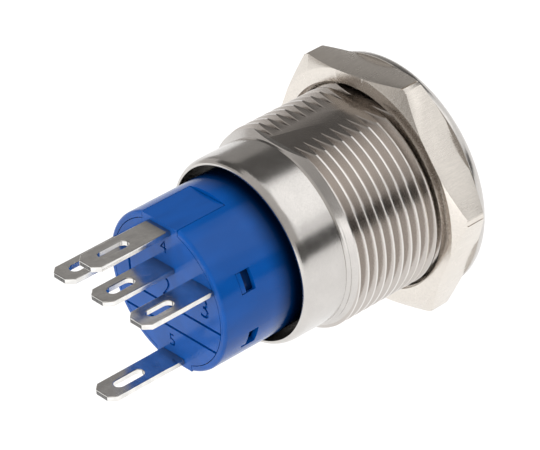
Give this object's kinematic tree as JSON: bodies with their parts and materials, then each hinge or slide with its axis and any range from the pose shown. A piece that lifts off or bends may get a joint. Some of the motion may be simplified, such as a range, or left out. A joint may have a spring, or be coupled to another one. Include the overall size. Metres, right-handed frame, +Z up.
{
  "type": "illuminated push button switch",
  "caption": "Panel-mounted metal push button with a lit ring, threaded barrel, hexagon nut, blue contact block and flat blade terminals.",
  "frame": {"origin": "on the switch's axis, in the face of the flange that bears on the panel", "axes": "+Y along the axis from the button to the terminals, +Z up, so that the blades lie flat; +X completes the frame"},
  "size_m": [0.0254, 0.0352, 0.023],
  "materials": {
    "plated_brass": "satin nickel plate on brass",
    "nut_nickel": "turned nickel plate",
    "cap_steel": "circular brushed",
    "light_guide": "clear frosted polycarbonate",
    "seal_rubber": "matt black",
    "spring_steel": "drawn wire",
    "board": "solder mask",
    "led_lens": "cast lens",
    "chip_black": "matt",
    "blue_plastic": "moulded satin blue",
    "tinned_blade": "tinned brass",
    "silver_contact": "silver",
    "bronze_strip": "phosphor bronze",
    "white_plastic": "moulded acetal"
  },
  "bodies": {
    "housing": {"housing_shell": "plated_brass", "panel_seal": "seal_rubber", "led_board": "board", "leds": "led_lens", "series_resistor": "chip_black", "contact_sleeve": "blue_plastic", "terminal_base": "blue_plastic", "terminal_common": "tinned_blade", "terminal_normally_closed": "tinned_blade", "terminal_normally_open": "tinned_blade", "lamp_terminal_plus": "tinned_blade", "lamp_terminal_minus": "tinned_blade", "normally_closed_contact": "silver_contact", "normally_open_contact": "silver_contact"},
    "nut": {"hex_nut": "nut_nickel"},
    "button": {"button_cap": "cap_steel", "light_guide": "light_guide", "actuator_seal": "seal_rubber", "contact_slider": "white_plastic", "return_spring": "spring_steel", "plunger_spring": "spring_steel"},
    "rocker": {"contact_rocker": "bronze_strip", "moving_contacts": "silver_contact"},
    "plunger": {"contact_plunger": "white_plastic"}
  },
  "joints": [
    {"name": "button_press", "type": "slide", "parent": "housing", "child": "button", "axis": [0, 1, 0], "range_m": [0, 0.0025], "stiffness_N_per_m": 900, "springref_m": -0.0015, "deforming": ["return_spring"]},
    {"name": "nut_run", "type": "slide", "parent": "housing", "child": "nut", "axis": [0, 1, 0], "range_m": [0, 0.00925]},
    {"name": "rocker_tilt", "type": "hinge", "parent": "housing", "child": "rocker", "pos_m": [0, 0.0141, 0.002], "axis": [1, 0, 0], "range_deg": [0, 9]},
    {"name": "plunger_float", "type": "slide", "parent": "button", "child": "plunger", "axis": [0, 0, -1], "range_m": [0, 0.0003], "stiffness_N_per_m": 300, "springref_m": -0.0005, "deforming": ["plunger_spring"]}
  ],
  "couplings": [
    {"joint": "rocker_tilt", "follows": "button_press", "rad_per_m": 62.831}
  ]
}
